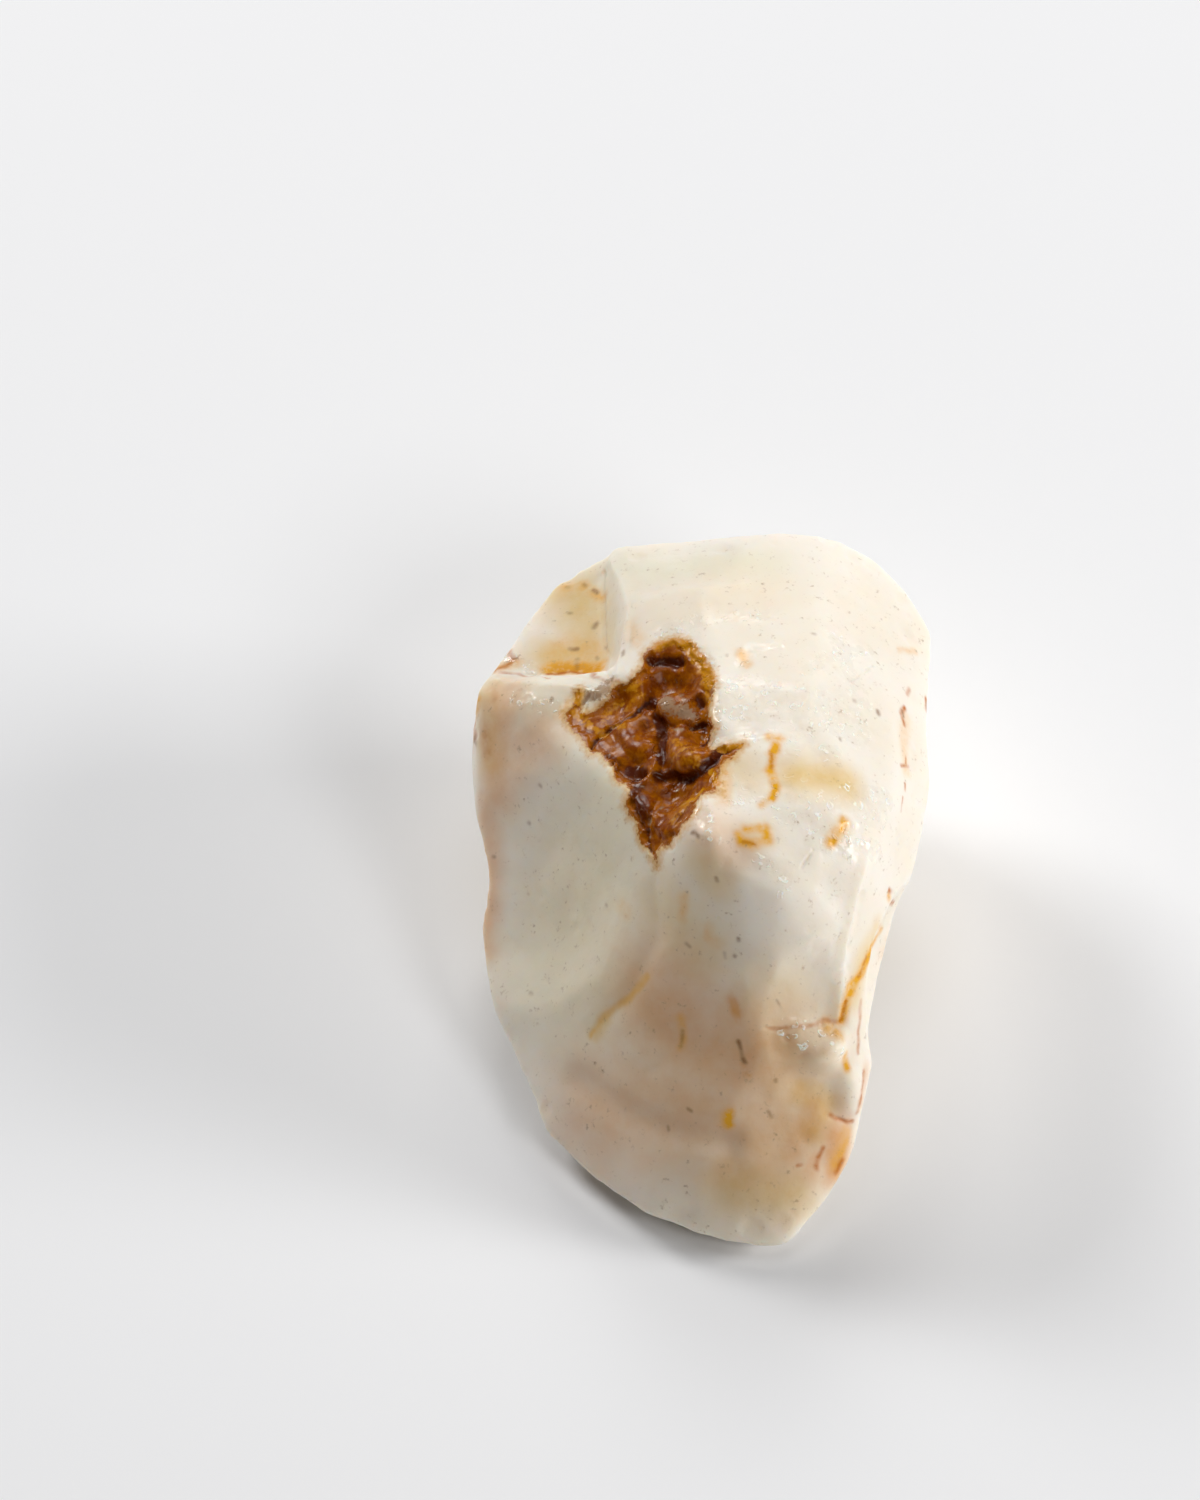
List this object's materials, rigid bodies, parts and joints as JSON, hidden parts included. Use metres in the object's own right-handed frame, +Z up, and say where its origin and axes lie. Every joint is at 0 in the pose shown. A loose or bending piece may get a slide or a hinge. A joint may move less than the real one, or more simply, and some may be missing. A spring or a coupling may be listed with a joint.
{
  "type": "rough opal",
  "caption": "Rough milky opal lump, broken and slightly worn, with an iron-stained pit in its brow, lying on its flat underside.",
  "frame": {"origin": "under the middle of the lump's bounding box, on the surface that it rests on", "axes": "+Z up; +Y from the narrow toe to the broad back, along the longest side; +X to the right as seen from the toe"},
  "size_m": [0.0286, 0.0428, 0.0223],
  "materials": {
    "milky_opal": "Milky, slightly see-through opal with a wet-looking gloss on worn and freshly broken faces, and ochre to dark brown iron stains"
  },
  "bodies": {
    "root": {"rough_opal": "milky_opal"}
  },
  "joints": []
}
